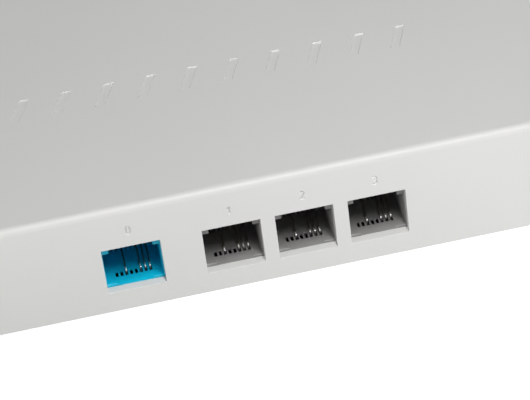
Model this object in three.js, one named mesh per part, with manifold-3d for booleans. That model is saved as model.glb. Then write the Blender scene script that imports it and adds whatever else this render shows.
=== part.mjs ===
// Small wired network gateway: a two-part moulded case around one circuit board that carries a row
// of four modular jacks, a supply inlet, a power button and a recessed reset button.
// Millimetres, +Z up. The port panel faces -Y and +X is to the right of someone facing the ports.
// The origin is the middle of the footprint, on the surface that the feet stand on.

import * as THREE from 'three';
import { mergeVertices } from 'three/addons/utils/BufferGeometryUtils.js';
import Module from 'manifold-3d';

const wasm = await Module();
wasm.setup();

// ---- Driving dimensions -------------------------------------------------------------------------

// Case
const WIDTH = 159;
const DEPTH = 110;
const HEIGHT = 29;
const CORNER_RADIUS = 8;
const TOP_EDGE_RADIUS = 1.6;
const WALL = 1.7;
const CEILING = 2;
const SPLIT_Z = 4.5; // lower edge of the top cover, where it meets the base
const BASE_Z = 1.5; // underside of the base
const BASE_FLOOR = 2;
const BASE_STEP = 0.4; // the base starts this far inside the cover's wall
const BASE_INSET = 5.5; // the base's underside is this far inside the cover's wall
const LIP_GAP = 0.3;
const LIP_WALL = 1.4;
const LIP_TOP_Z = 6.5;

// Circuit board
const BOARD_TOP = 7;
const BOARD_THICKNESS = 1.6;
const BOARD_HALF_WIDTH = 74;
const BOARD_FRONT_Y = -51.2;
const BOARD_BACK_Y = 34;

// Row of modular jacks: one apart from a group of three
const PORT_PITCH = 15.24;
const PORT_GAP = 20.85;
const PORT_WIDTH = 12.2;
const PORT_LOW_Z = 9.6;
const PORT_HIGH_Z = 19.7;
const SILL_DROP = 0.36; // the sill slopes down toward the outside
const DIGIT_Z = 23.4;
const DIGIT_HEIGHT = 2.1;
const DIGIT_WIDTH = 1.25;
const DIGIT_STROKE = 0.3;
const DIGIT_DEPTH = 0.2;

// Modular jack, latch side up
const JACK_WIDTH = 14.9;
const JACK_DEPTH = 16;
const JACK_TOP_Z = 20.9;
const JACK_GAP = 0.1; // between the jack's face and the panel
const PLUG_WIDTH = 11.9;
const PLUG_HEIGHT = 8.1;
const PLUG_DEPTH = 11.5;
const LATCH_WIDTH = 9.2;
const LATCH_TOP_Z = 20.1;
const LEDGE_WIDTH = 2; // level floor on each side of the sloping lead-in
const LEAD_IN_DEPTH = 2.4;
const LEAD_IN_DROP = 0.5;
const LEAD_IN_FLARE = 1.1; // how far each side leans out, per millimetre of height
const LEDGE_CHAMFER = 0.5;
const CONTACT_PITCH = 1.016;
const CONTACT_COUNT = 8;
const FITTED_CONTACTS = [3, 6, 7, 8]; // the four that a 10/100 line uses, counted from the left
const SLOT_WIDTH = 0.6;
const SLOT_FRONT = 2.4;
const SLOT_LENGTH = 1.9;
const SHELF_THICKNESS = 0.45; // the floor round the slots, over a hollow that is open to the board
const SHELF_FRONT = 1.9;
const SHELF_WIDTH = 9.2;
const COMB_DEPTH = 1.2;
const COMB_TOP_Z = 17;
const WIRE_WIDTH = 0.4;
const WIRE_THICKNESS = 0.32;

// Supply inlet, power button and reset button, all on the port panel
const INLET_X = 67;
const INLET_Z = 13.5;
const INLET_HOLE_RADIUS = 4.7;
const INLET_WIDTH = 9;
const INLET_DEPTH = 14.2;
const INLET_TOP_Z = 18;
const INLET_BORE_RADIUS = 3.15;
const INLET_BORE_DEPTH = 9.5;
const INLET_PIN_RADIUS = 1;
const INLET_PIN_LENGTH = 8.5;
const POWER_X = -67.5;
const POWER_Z = 13.2;
const POWER_CAP = 8;
const POWER_CAP_DEPTH = 4.7;
const POWER_RECESS = 0.3; // cap face behind the panel's face
const POWER_STEM = 3;
const RESET_X = -57.5;
const RESET_Z = 10;
const RESET_HOLE_RADIUS = 1;
const BUTTON_GAP = 0.3;

// Status lights on the side away from the ports
const LIGHT_COUNT = 5;
const LIGHT_PITCH = 10;
const LIGHT_WIDTH = 2;
const LIGHT_LOW_Z = 12.8;
const LIGHT_HIGH_Z = 15;
const LIGHT_LEG_Y = 27.2;
const LIGHT_LEG_DEPTH = 2.4;
const LIGHT_GAP = 0.15;

// Fasteners and feet
const CASE_SCREWS = [[-68, 43], [68, 43], [-48, -34], [48, -34]];
const BOARD_SCREWS = [[-66, 22], [66, 22]];
const BOARD_RESTS = [[-24, -43], [0, -24], [24, -43], [0, 29]];
const BOSS_RADIUS = 3.2;
const BOSS_Z = 5.25; // where the cover's bosses meet the base's
const SCREW_SEAT_Z = 3.25;
const SCREW_HOLE_RADIUS = 1.6;
const SHANK_RADIUS = 1.3;
const HEAD_RADIUS = 2.6;
const HEAD_HEIGHT = 1.5;
const FEET = [[-58, -41], [58, -41], [-52, 41], [52, 41]];
const FOOT_RADIUS = 6;
const FOOT_TOP_Z = 1.75;

// Plain slanted bars sunk into the top, a band of decoration
const BAR_COUNT = 10;
const BAR_PITCH = 9.4;
const BAR_WIDTH = 2.2;
const BAR_SLANT = 3.2;
const BAR_LOW_Y = -13;
const BAR_HIGH_Y = -4;
const BAR_DEPTH = 0.25;

// Vents and label on the underside
const VENT_COUNT = 19;
const VENT_PITCH = 5;
const VENT_WIDTH = 2;
const VENT_LOW_Y = -21;
const VENT_HIGH_Y = 13;
const LABEL_WIDTH = 60;
const LABEL_LOW_Y = 19;
const LABEL_HIGH_Y = 47;
const LABEL_THICKNESS = 0.25;
const LABEL_GAP = 0.3;

// ---- Worked out from the above ------------------------------------------------------------------

const PANEL_Y = -DEPTH / 2;
const BACK_Y = DEPTH / 2;
const JACK_FACE_Y = PANEL_Y + WALL + JACK_GAP;
const BOARD_BOTTOM = BOARD_TOP - BOARD_THICKNESS;
const PORT_SPAN = PORT_GAP + 2 * PORT_PITCH;
const PORTS = [0, PORT_GAP, PORT_GAP + PORT_PITCH, PORT_SPAN].map((x) => x - PORT_SPAN / 2);
const LATCH_LOW_Z = PORT_LOW_Z + PLUG_HEIGHT;
const REAR_WALL_Y = JACK_FACE_Y + PLUG_DEPTH;
const JACK_FLOOR_Z = PORT_LOW_Z + LEAD_IN_DROP;
const OUTSIDE = 1; // how far a cutter reaches past the surface that it cuts

// ---- Building blocks ----------------------------------------------------------------------------

const vector = (x, y, z) => new THREE.Vector3(x, y, z);

// An outline drawn as (X, Y), (X, Z) or (Y, Z) is extruded along the third axis.
const DIRECTIONS = {
  z: new THREE.Matrix4(),
  y: new THREE.Matrix4().makeBasis(vector(1, 0, 0), vector(0, 0, 1), vector(0, -1, 0)),
  x: new THREE.Matrix4().makeBasis(vector(0, 1, 0), vector(0, 0, 1), vector(1, 0, 0)),
};

function solid(geometry) {
  geometry.deleteAttribute('normal');
  geometry.deleteAttribute('uv');
  const merged = mergeVertices(geometry, 1e-4);
  return new wasm.Manifold(new wasm.Mesh({
    numProp: 3,
    vertProperties: merged.attributes.position.array,
    triVerts: new Uint32Array(merged.index.array),
  }));
}

function geometryOf(manifold) {
  const mesh = manifold.getMesh();
  const geometry = new THREE.BufferGeometry();
  geometry.setAttribute('position', new THREE.BufferAttribute(mesh.vertProperties, 3));
  geometry.setIndex(new THREE.BufferAttribute(mesh.triVerts, 1));
  return geometry;
}

function block(x0, x1, y0, y1, z0, z1) {
  const geometry = new THREE.BoxGeometry(x1 - x0, y1 - y0, z1 - z0);
  geometry.translate((x0 + x1) / 2, (y0 + y1) / 2, (z0 + z1) / 2);
  return solid(geometry);
}

function prism(outline, axis, low, high, curveSegments = 3) {
  const geometry = new THREE.ExtrudeGeometry(outline, {
    depth: high - low,
    bevelEnabled: false,
    curveSegments,
  });
  geometry.translate(0, 0, axis === 'y' ? -high : low);
  geometry.applyMatrix4(DIRECTIONS[axis]);
  return solid(geometry);
}

function circle(u, v, radius) {
  return new THREE.Shape().absarc(u, v, radius, 0, 2 * Math.PI, false);
}

function rod(axis, u, v, radius, low, high, sides = 16) {
  return prism(circle(u, v, radius), axis, low, high, sides / 2);
}

function polygon(points) {
  return new THREE.Shape(points.map(([u, v]) => new THREE.Vector2(u, v)));
}

function roundedRectangle(u0, u1, v0, v1, radius) {
  const quarter = Math.PI / 2;
  const shape = new THREE.Shape();
  shape.moveTo(u0 + radius, v0);
  shape.lineTo(u1 - radius, v0);
  shape.absarc(u1 - radius, v0 + radius, radius, -quarter, 0, false);
  shape.lineTo(u1, v1 - radius);
  shape.absarc(u1 - radius, v1 - radius, radius, 0, quarter, false);
  shape.lineTo(u0 + radius, v1);
  shape.absarc(u0 + radius, v1 - radius, radius, quarter, 2 * quarter, false);
  shape.lineTo(u0, v0 + radius);
  shape.absarc(u0 + radius, v0 + radius, radius, 2 * quarter, 3 * quarter, false);
  return shape;
}

function squareOutline(u, v, half, radius) {
  return roundedRectangle(u - half, u + half, v - half, v + half, radius);
}

// The outline of a line of even width through the given points, with mitred corners.
function stroke(points, width) {
  const count = points.length;
  const sides = [[], []];
  points.forEach(([u, v], i) => {
    const [u0, v0] = points[Math.max(i - 1, 0)];
    const [u1, v1] = points[Math.min(i + 1, count - 1)];
    const before = new THREE.Vector2(u - u0, v - v0).normalize();
    const after = new THREE.Vector2(u1 - u, v1 - v).normalize();
    const along = before.clone().add(after).normalize();
    const bend = i === 0 || i === count - 1 ? 1 : along.dot(before);
    const reach = width / 2 / bend;
    sides[0].push(new THREE.Vector2(u - along.y * reach, v + along.x * reach));
    sides[1].unshift(new THREE.Vector2(u + along.y * reach, v - along.x * reach));
  });
  return new THREE.Shape([...sides[1].reverse(), ...sides[0].reverse()]);
}

// Points on an arc, with the angles in degrees.
function arcPoints(u, v, radius, from, to, steps) {
  return Array.from({ length: steps + 1 }, (_, i) => {
    const angle = THREE.MathUtils.degToRad(from + ((to - from) * i) / steps);
    return [u + radius * Math.cos(angle), v + radius * Math.sin(angle)];
  });
}

// A turned body about a vertical axis. The profile of [radius, height] starts and ends on the axis.
function turned(profile, x, y, segments = 20) {
  const points = profile.map(([radius, height]) => new THREE.Vector2(radius, height));
  const geometry = new THREE.LatheGeometry(points, segments);
  geometry.rotateX(Math.PI / 2);
  geometry.translate(x, y, 0);
  return solid(geometry);
}

function addAll(first, others) {
  return others.reduce((sum, other) => sum.add(other), first);
}

function subtractAll(first, cutters) {
  return cutters.reduce((rest, cutter) => rest.subtract(cutter), first);
}

function spread(count, pitch) {
  return Array.from({ length: count }, (_, i) => (i - (count - 1) / 2) * pitch);
}

function caseOutline(inset) {
  const x = WIDTH / 2 - inset;
  const y = DEPTH / 2 - inset;
  return roundedRectangle(-x, x, -y, y, CORNER_RADIUS - inset);
}

// ---- Case ---------------------------------------------------------------------------------------

function digit(value, x) {
  const top = DIGIT_HEIGHT / 2 - DIGIT_STROKE / 2;
  const side = DIGIT_WIDTH / 2 - DIGIT_STROKE / 2;
  const bowl = top / 2;
  const strokes = [
    [arcPoints(0, 0, 1, 90, 450, 16).map(([u, v]) => [u * side, v * top])],
    [[[-side * 0.7, top * 0.55], [0.1, top], [0.1, -top - DIGIT_STROKE / 2]]],
    [
      [...arcPoints(0, bowl, bowl, 160, -30, 7), [-side * 0.8, -top]],
      [[-side - DIGIT_STROKE / 2, -top], [side + DIGIT_STROKE / 2, -top]],
    ],
    [arcPoints(0, bowl, bowl, 150, -75, 7), arcPoints(0, -bowl, bowl, 75, -150, 7)],
  ][value];
  const lines = strokes.map((points) => {
    const placed = points.map(([u, v]) => [x + u, DIGIT_Z + v]);
    return prism(stroke(placed, DIGIT_STROKE), 'y', PANEL_Y - OUTSIDE, PANEL_Y + DIGIT_DEPTH);
  });
  return addAll(lines[0], lines.slice(1));
}

function decorationBars() {
  return spread(BAR_COUNT, BAR_PITCH).map((x) => {
    const low = x - BAR_SLANT / 2;
    const high = x + BAR_SLANT / 2;
    const half = BAR_WIDTH / 2;
    const outline = new THREE.Shape([
      new THREE.Vector2(low - half, BAR_LOW_Y),
      new THREE.Vector2(low + half, BAR_LOW_Y),
      new THREE.Vector2(high + half, BAR_HIGH_Y),
      new THREE.Vector2(high - half, BAR_HIGH_Y),
    ]);
    return prism(outline, 'z', HEIGHT - BAR_DEPTH, HEIGHT + OUTSIDE);
  });
}

function panelHoles() {
  const half = POWER_CAP / 2 + BUTTON_GAP;
  const low = PANEL_Y - OUTSIDE;
  const high = PANEL_Y + WALL + OUTSIDE;
  const powerHole = squareOutline(POWER_X, POWER_Z, half, 1.3);
  const port = polygon([
    [low, PORT_LOW_Z - SILL_DROP * (1 + OUTSIDE / WALL)],
    [PANEL_Y + WALL, PORT_LOW_Z],
    [high, PORT_LOW_Z],
    [high, PORT_HIGH_Z],
    [low, PORT_HIGH_Z],
  ]);
  return [
    ...PORTS.map((x) => prism(port, 'x', x - PORT_WIDTH / 2, x + PORT_WIDTH / 2)),
    rod('y', INLET_X, INLET_Z, INLET_HOLE_RADIUS, low, high, 28),
    rod('y', RESET_X, RESET_Z, RESET_HOLE_RADIUS, low, high, 14),
    prism(powerHole, 'y', low, high),
  ];
}

function lightWindows() {
  const half = LIGHT_WIDTH / 2 + LIGHT_GAP;
  const inner = BACK_Y - WALL - OUTSIDE;
  const low = LIGHT_LOW_Z - LIGHT_GAP;
  const high = LIGHT_HIGH_Z + LIGHT_GAP;
  return spread(LIGHT_COUNT, LIGHT_PITCH).map((x) => {
    return block(x - half, x + half, inner, BACK_Y + OUTSIDE, low, high);
  });
}

function topCover() {
  const outside = solid(new THREE.ExtrudeGeometry(caseOutline(0), {
    depth: HEIGHT - TOP_EDGE_RADIUS,
    bevelEnabled: true,
    bevelThickness: TOP_EDGE_RADIUS,
    bevelSize: TOP_EDGE_RADIUS,
    bevelOffset: -TOP_EDGE_RADIUS,
    bevelSegments: 4,
    curveSegments: 4,
  }));
  const below = block(-WIDTH, WIDTH, -DEPTH, DEPTH, -2 * TOP_EDGE_RADIUS, SPLIT_Z);
  const inside = prism(caseOutline(WALL), 'z', SPLIT_Z - OUTSIDE, HEIGHT - CEILING);
  const shell = outside.subtract(below).subtract(inside);
  const bosses = CASE_SCREWS.map(([x, y]) => rod('z', x, y, BOSS_RADIUS, BOSS_Z, HEIGHT - CEILING + 0.5));
  const pilots = CASE_SCREWS.map(([x, y]) => rod('z', x, y, SCREW_HOLE_RADIUS, BOSS_Z - OUTSIDE, 14, 12));
  const digits = PORTS.map((x, i) => digit(i, x));
  return subtractAll(addAll(shell, bosses), [
    ...pilots,
    ...panelHoles(),
    ...lightWindows(),
    ...digits,
    ...decorationBars(),
  ]);
}

function baseCover() {
  const slope = SPLIT_Z - BASE_Z;
  const plate = solid(new THREE.ExtrudeGeometry(caseOutline(BASE_STEP), {
    depth: slope,
    bevelEnabled: true,
    bevelThickness: slope,
    bevelSize: BASE_INSET - BASE_STEP,
    bevelOffset: BASE_STEP - BASE_INSET,
    bevelSegments: 1,
    curveSegments: 4,
  }).translate(0, 0, SPLIT_Z));
  const above = block(-WIDTH, WIDTH, -DEPTH, DEPTH, SPLIT_Z, 3 * SPLIT_Z);
  const lipOutside = prism(caseOutline(WALL + LIP_GAP), 'z', SPLIT_Z - 0.5, LIP_TOP_Z);
  const floorTop = BASE_Z + BASE_FLOOR;
  const hollow = prism(caseOutline(WALL + LIP_GAP + LIP_WALL), 'z', floorTop, LIP_TOP_Z + OUTSIDE);
  const tray = plate.subtract(above).add(lipOutside).subtract(hollow);
  const bosses = CASE_SCREWS.map(([x, y]) => rod('z', x, y, 4.2, floorTop - 0.5, BOSS_Z));
  const rests = [...BOARD_SCREWS, ...BOARD_RESTS].map(([x, y]) => {
    return rod('z', x, y, 3, floorTop - 0.5, BOARD_BOTTOM);
  });
  const counterbores = CASE_SCREWS.map(([x, y]) => rod('z', x, y, 3, BASE_Z - OUTSIDE, SCREW_SEAT_Z));
  const holes = CASE_SCREWS.map(([x, y]) => rod('z', x, y, SCREW_HOLE_RADIUS, BASE_Z, 9, 12));
  const pilots = BOARD_SCREWS.map(([x, y]) => rod('z', x, y, SCREW_HOLE_RADIUS, BASE_Z + 0.5, 9, 12));
  const footSeats = FEET.map(([x, y]) => rod('z', x, y, FOOT_RADIUS + 0.3, 0, FOOT_TOP_Z));
  const vents = spread(VENT_COUNT, VENT_PITCH).map((x) => {
    const half = VENT_WIDTH / 2;
    const outline = roundedRectangle(x - half, x + half, VENT_LOW_Y, VENT_HIGH_Y, half);
    return prism(outline, 'z', 0, floorTop + OUTSIDE, 1);
  });
  const labelHalf = LABEL_WIDTH / 2 + LABEL_GAP;
  const labelLow = LABEL_LOW_Y - LABEL_GAP;
  const labelHigh = LABEL_HIGH_Y + LABEL_GAP;
  const labelSeat = block(-labelHalf, labelHalf, labelLow, labelHigh, 0, BASE_Z + LABEL_THICKNESS);
  return subtractAll(addAll(tray, [...bosses, ...rests]), [
    ...counterbores,
    ...holes,
    ...pilots,
    ...footSeats,
    ...vents,
    labelSeat,
  ]);
}

function foot(x, y) {
  const chamfer = 0.5;
  return turned([
    [0, 0],
    [FOOT_RADIUS - chamfer, 0],
    [FOOT_RADIUS, chamfer],
    [FOOT_RADIUS, FOOT_TOP_Z],
    [0, FOOT_TOP_Z],
  ], x, y, 20);
}

// A pan-head screw with a cross recess. It points up when headUp is false.
function screw(x, y, seat, length, headUp) {
  const out = headUp ? 1 : -1;
  const profile = [
    [0, -length],
    [SHANK_RADIUS * 0.5, -length],
    [SHANK_RADIUS, 1 - length],
    [SHANK_RADIUS, 0],
    [HEAD_RADIUS, 0],
    [HEAD_RADIUS, HEAD_HEIGHT * 0.5],
    [HEAD_RADIUS * 0.7, HEAD_HEIGHT],
    [0, HEAD_HEIGHT],
  ];
  const upright = profile.map(([radius, height]) => [radius, seat + out * height]);
  const body = turned(headUp ? upright : upright.reverse(), x, y, 12);
  const deep = seat + out * (HEAD_HEIGHT - 0.8);
  const shallow = seat + out * (HEAD_HEIGHT + OUTSIDE);
  const [low, high] = [Math.min(deep, shallow), Math.max(deep, shallow)];
  const bar = (u, v) => block(x - u, x + u, y - v, y + v, low, high);
  return body.subtract(bar(1.5, 0.3)).subtract(bar(0.3, 1.5));
}

function ratingLabel() {
  const half = LABEL_WIDTH / 2;
  const outline = roundedRectangle(-half, half, LABEL_LOW_Y, LABEL_HIGH_Y, 1.5);
  return prism(outline, 'z', BASE_Z, BASE_Z + LABEL_THICKNESS, 2);
}

// ---- Modular jacks ------------------------------------------------------------------------------

function contactX(x, position) {
  return x + (position - (CONTACT_COUNT + 1) / 2) * CONTACT_PITCH;
}

function jackHousing(x) {
  const across = (halfWidth, y0, y1, z0, z1) => block(x - halfWidth, x + halfWidth, y0, y1, z0, z1);
  const mouth = JACK_FACE_Y - OUTSIDE;
  const body = across(JACK_WIDTH / 2, JACK_FACE_Y, JACK_FACE_Y + JACK_DEPTH, BOARD_TOP, JACK_TOP_Z);
  const plugSpace = across(PLUG_WIDTH / 2, mouth, REAR_WALL_Y, JACK_FLOOR_Z, LATCH_LOW_Z);
  const latchSpace = across(LATCH_WIDTH / 2, mouth, REAR_WALL_Y - 2, LATCH_LOW_Z - 0.5, LATCH_TOP_Z);
  const shelfLow = JACK_FLOOR_Z - SHELF_THICKNESS;
  const shelfFront = JACK_FACE_Y + SHELF_FRONT;
  const under = across(SHELF_WIDTH / 2, shelfFront, REAR_WALL_Y, BOARD_TOP - OUTSIDE, shelfLow);
  const positions = Array.from({ length: CONTACT_COUNT }, (_, i) => contactX(x, i + 1));
  const half = SLOT_WIDTH / 2;
  const slotY = JACK_FACE_Y + SLOT_FRONT;
  const above = JACK_FLOOR_Z + OUTSIDE;
  const slots = positions.map((u) => {
    return block(u - half, u + half, slotY, slotY + SLOT_LENGTH, shelfLow - OUTSIDE, above);
  });
  const combBack = REAR_WALL_Y + COMB_DEPTH;
  const comb = positions.map((u) => {
    return block(u - half, u + half, REAR_WALL_Y - OUTSIDE, combBack, JACK_FLOOR_Z, COMB_TOP_Z);
  });
  const leadIn = floorWedge(x, PLUG_WIDTH, LEAD_IN_DEPTH, LEAD_IN_DROP).intersect(leadInChannel(x));
  const chamfer = floorWedge(x, PLUG_WIDTH / 2, LEDGE_CHAMFER, LEDGE_CHAMFER);
  return subtractAll(body, [plugSpace, latchSpace, leadIn, chamfer, under, ...slots, ...comb]);
}

// The space between the lead-in's leaning sides
function leadInChannel(x) {
  const top = PLUG_WIDTH / 2 - LEDGE_WIDTH;
  const foot = top - LEAD_IN_FLARE;
  const outline = polygon([
    [x - foot, JACK_FLOOR_Z - 1],
    [x + foot, JACK_FLOOR_Z - 1],
    [x + top, JACK_FLOOR_Z],
    [x + top, JACK_FLOOR_Z + 2],
    [x - top, JACK_FLOOR_Z + 2],
    [x - top, JACK_FLOOR_Z],
  ]);
  return prism(outline, 'y', JACK_FACE_Y - 2, JACK_FACE_Y + 2 * LEAD_IN_DEPTH);
}

// A wedge that is cut out of a jack's floor, deepest at the face
function floorWedge(x, half, depth, drop) {
  const front = JACK_FACE_Y - OUTSIDE;
  const back = JACK_FACE_Y + depth;
  const above = JACK_FLOOR_Z + OUTSIDE;
  const wedge = polygon([
    [front, JACK_FLOOR_Z - drop * (1 + OUTSIDE / depth)],
    [back, JACK_FLOOR_Z],
    [back, above],
    [front, above],
  ]);
  return prism(wedge, 'x', x - half, x + half);
}

// A springy contact: its tip hangs in a slot in the floor, and it slopes up into the rear comb.
function contactWire(x, position) {
  const route = [
    [3.7, -0.9],
    [3.75, -0.35],
    [4, 0.15],
    [4.5, 0.5],
    [11, 4.15],
    [12.4, 4.8],
  ].map(([back, up]) => [JACK_FACE_Y + back, JACK_FLOOR_Z + up]);
  const u = contactX(x, position);
  return prism(stroke(route, WIRE_THICKNESS), 'x', u - WIRE_WIDTH / 2, u + WIRE_WIDTH / 2);
}

// ---- Inlet and buttons --------------------------------------------------------------------------

function inletHousing() {
  const half = INLET_WIDTH / 2;
  const face = JACK_FACE_Y;
  const body = block(INLET_X - half, INLET_X + half, face, face + INLET_DEPTH, BOARD_TOP, INLET_TOP_Z);
  const bore = rod('y', INLET_X, INLET_Z, INLET_BORE_RADIUS, face - OUTSIDE, face + INLET_BORE_DEPTH, 20);
  return body.subtract(bore);
}

function inletPin() {
  const back = JACK_FACE_Y + INLET_BORE_DEPTH;
  return rod('y', INLET_X, INLET_Z, INLET_PIN_RADIUS, back - INLET_PIN_LENGTH, back, 12);
}

function powerButton() {
  const half = POWER_CAP / 2;
  const face = PANEL_Y + POWER_RECESS;
  const cap = prism(squareOutline(POWER_X, POWER_Z, half, 1), 'y', face, face + POWER_CAP_DEPTH);
  const stem = POWER_STEM / 2;
  const neck = face + POWER_CAP_DEPTH;
  const stemOutline = squareOutline(POWER_X, POWER_Z, stem, 0.3);
  return cap.add(prism(stemOutline, 'y', neck - 0.5, neck + 5.5, 1));
}

function powerSwitch() {
  const front = PANEL_Y + 9;
  const body = block(POWER_X - 3.5, POWER_X + 3.5, front, front + 12, BOARD_TOP, 17);
  const half = POWER_STEM / 2 + BUTTON_GAP;
  const hole = prism(squareOutline(POWER_X, POWER_Z, half, 0.3), 'y', front - OUTSIDE, front + 6, 1);
  return body.subtract(hole);
}

const RESET_FRONT_Y = PANEL_Y + 4.5;

function resetButton() {
  return rod('y', RESET_X, RESET_Z, 1, RESET_FRONT_Y - 2, RESET_FRONT_Y + 1.2, 12);
}

function resetSwitch() {
  const body = block(RESET_X - 3, RESET_X + 3, RESET_FRONT_Y, RESET_FRONT_Y + 4, BOARD_TOP, 12.2);
  const hole = rod('y', RESET_X, RESET_Z, 1 + BUTTON_GAP, RESET_FRONT_Y - OUTSIDE, RESET_FRONT_Y + 2.2, 12);
  return body.subtract(hole);
}

// ---- Status lights ------------------------------------------------------------------------------

// Clear fingers that turn the light of each lamp towards its window, joined by one bar.
function lightPipe() {
  const legTop = LIGHT_HIGH_Z;
  const legBack = LIGHT_LEG_Y + LIGHT_LEG_DEPTH;
  const finger = new THREE.Shape([
    new THREE.Vector2(LIGHT_LEG_Y, BOARD_TOP + 1.4),
    new THREE.Vector2(legBack, BOARD_TOP + 1.4),
    new THREE.Vector2(legBack, LIGHT_LOW_Z),
    new THREE.Vector2(BACK_Y - 0.2, LIGHT_LOW_Z),
    new THREE.Vector2(BACK_Y - 0.2, legTop),
    new THREE.Vector2(legBack, legTop),
    new THREE.Vector2(LIGHT_LEG_Y, LIGHT_LOW_Z),
  ]);
  const half = LIGHT_WIDTH / 2;
  const fingers = spread(LIGHT_COUNT, LIGHT_PITCH).map((x) => prism(finger, 'x', x - half, x + half));
  const reach = ((LIGHT_COUNT - 1) * LIGHT_PITCH) / 2 + half + 1;
  const bar = block(-reach, reach, 46, 48, LIGHT_LOW_Z + 0.3, LIGHT_HIGH_Z - 0.3);
  return addAll(bar, fingers);
}

function statusLamp(x) {
  const y = LIGHT_LEG_Y + LIGHT_LEG_DEPTH / 2;
  return block(x - 0.8, x + 0.8, y - 0.6, y + 0.6, BOARD_TOP, BOARD_TOP + 1);
}

// ---- Board and what it carries ------------------------------------------------------------------

function mainBoard() {
  const outline = roundedRectangle(-BOARD_HALF_WIDTH, BOARD_HALF_WIDTH, BOARD_FRONT_Y, BOARD_BACK_Y, 2);
  const board = prism(outline, 'z', BOARD_BOTTOM, BOARD_TOP, 2);
  const bossHoles = CASE_SCREWS.filter(([, y]) => y < BOARD_BACK_Y).map(([x, y]) => {
    return rod('z', x, y, BOSS_RADIUS + 0.4, BOARD_BOTTOM - OUTSIDE, BOARD_TOP + OUTSIDE);
  });
  const screwHoles = BOARD_SCREWS.map(([x, y]) => {
    return rod('z', x, y, SCREW_HOLE_RADIUS, BOARD_BOTTOM - OUTSIDE, BOARD_TOP + OUTSIDE, 12);
  });
  return subtractAll(board, [...bossHoles, ...screwHoles]);
}

// A packaged part that lies on the board, or on another part at the given height.
function chip(x, y, width, depth, height, bottom = BOARD_TOP) {
  const outline = roundedRectangle(x - width / 2, x + width / 2, y - depth / 2, y + depth / 2, 0.4);
  return prism(outline, 'z', bottom, bottom + height, 1);
}

function heatSink(x, y, bottom) {
  const half = 11;
  const plate = block(x - half, x + half, y - half, y + half, bottom, bottom + 2);
  const fins = spread(6, 4).map((offset) => {
    return block(x + offset - 0.6, x + offset + 0.6, y - half, y + half, bottom + 1, bottom + 9);
  });
  return addAll(plate, fins);
}

function capacitor(x, y) {
  const radius = 4;
  const height = 10;
  return turned([
    [0, BOARD_TOP],
    [radius, BOARD_TOP],
    [radius, BOARD_TOP + height - 0.5],
    [radius - 0.5, BOARD_TOP + height],
    [0, BOARD_TOP + height],
  ], x, y, 16);
}

// ---- Materials ----------------------------------------------------------------------------------

function material(color, roughness, metalness = 0) {
  return new THREE.MeshStandardMaterial({ color, roughness, metalness });
}

const caseTop = material(0xe4e4e1, 0.55);
const caseBase = material(0xd9d9d6, 0.6);
const rubber = material(0x3a3a3c, 0.9);
const steel = material(0xb9bbbe, 0.35, 1);
const bluePlastic = material(0x12b4dc, 0.4);
const greyPlastic = material(0x8b8a89, 0.5);
const gold = material(0xd8b561, 0.25, 1);
const boardGreen = material(0x1c6b3c, 0.5);
const blackPlastic = material(0x1e1f21, 0.6);
const buttonGrey = material(0x9b9c9d, 0.5);
const clearPlastic = material(0xe8f0f2, 0.15);
const lampWhite = material(0xf0efe6, 0.4);
const aluminium = material(0xbfc2c5, 0.4, 1);
const padGrey = material(0x8d9aa5, 0.9);
const paper = material(0xf1f1ee, 0.7);

// ---- Assembly -----------------------------------------------------------------------------------

const gateway = new THREE.Group();

function add(name, manifold, look) {
  const mesh = new THREE.Mesh(geometryOf(manifold), look);
  mesh.name = name;
  gateway.add(mesh);
}

add('top_cover', topCover(), caseTop);
add('base_cover', baseCover(), caseBase);
FEET.forEach(([x, y], i) => add(`foot_${i + 1}`, foot(x, y), rubber));
CASE_SCREWS.forEach(([x, y], i) => {
  add(`case_screw_${i + 1}`, screw(x, y, SCREW_SEAT_Z, 9, false), steel);
});
BOARD_SCREWS.forEach(([x, y], i) => {
  add(`board_screw_${i + 1}`, screw(x, y, BOARD_TOP, 4.5, true), steel);
});
add('rating_label', ratingLabel(), paper);

PORTS.forEach((x, i) => {
  const name = i === 0 ? 'wan' : `lan_${i}`;
  add(`${name}_jack`, jackHousing(x), i === 0 ? bluePlastic : greyPlastic);
  FITTED_CONTACTS.forEach((position) => {
    add(`${name}_contact_${position}`, contactWire(x, position), gold);
  });
});

add('power_inlet', inletHousing(), blackPlastic);
add('power_inlet_pin', inletPin(), steel);
add('power_button', powerButton(), buttonGrey);
add('power_switch', powerSwitch(), blackPlastic);
add('reset_button', resetButton(), buttonGrey);
add('reset_switch', resetSwitch(), blackPlastic);

add('light_pipe', lightPipe(), clearPlastic);
spread(LIGHT_COUNT, LIGHT_PITCH).forEach((x, i) => {
  add(`status_lamp_${i + 1}`, statusLamp(x), lampWhite);
});

const processorX = 8;
const processorY = 6;
const padBottom = BOARD_TOP + 1.4;
const sinkBottom = padBottom + 0.5;
add('main_board', mainBoard(), boardGreen);
add('processor', chip(processorX, processorY, 17, 17, padBottom - BOARD_TOP), blackPlastic);
add('thermal_pad', chip(processorX, processorY, 15, 15, sinkBottom - padBottom, padBottom), padGrey);
add('heat_sink', heatSink(processorX, processorY, sinkBottom), aluminium);
add('memory_chip', chip(34, 8, 12, 8, 1.1), blackPlastic);
add('flash_chip', chip(-16, 8, 6, 5, 1.7), blackPlastic);
PORTS.forEach((x, i) => add(`line_transformer_${i}`, chip(x, -31, 12.6, 7, 5.6), blackPlastic));
add('clock_crystal', chip(-16, -6, 5, 3.2, 1.2), steel);
add('supply_capacitor_1', capacitor(66, -30), aluminium);
add('supply_capacitor_2', capacitor(66, -18), aluminium);
add('supply_inductor', chip(54, -17, 10, 10, 5), padGrey);

export default gateway;
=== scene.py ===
import math

import bmesh
import bpy
from mathutils import Matrix, Vector


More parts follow.
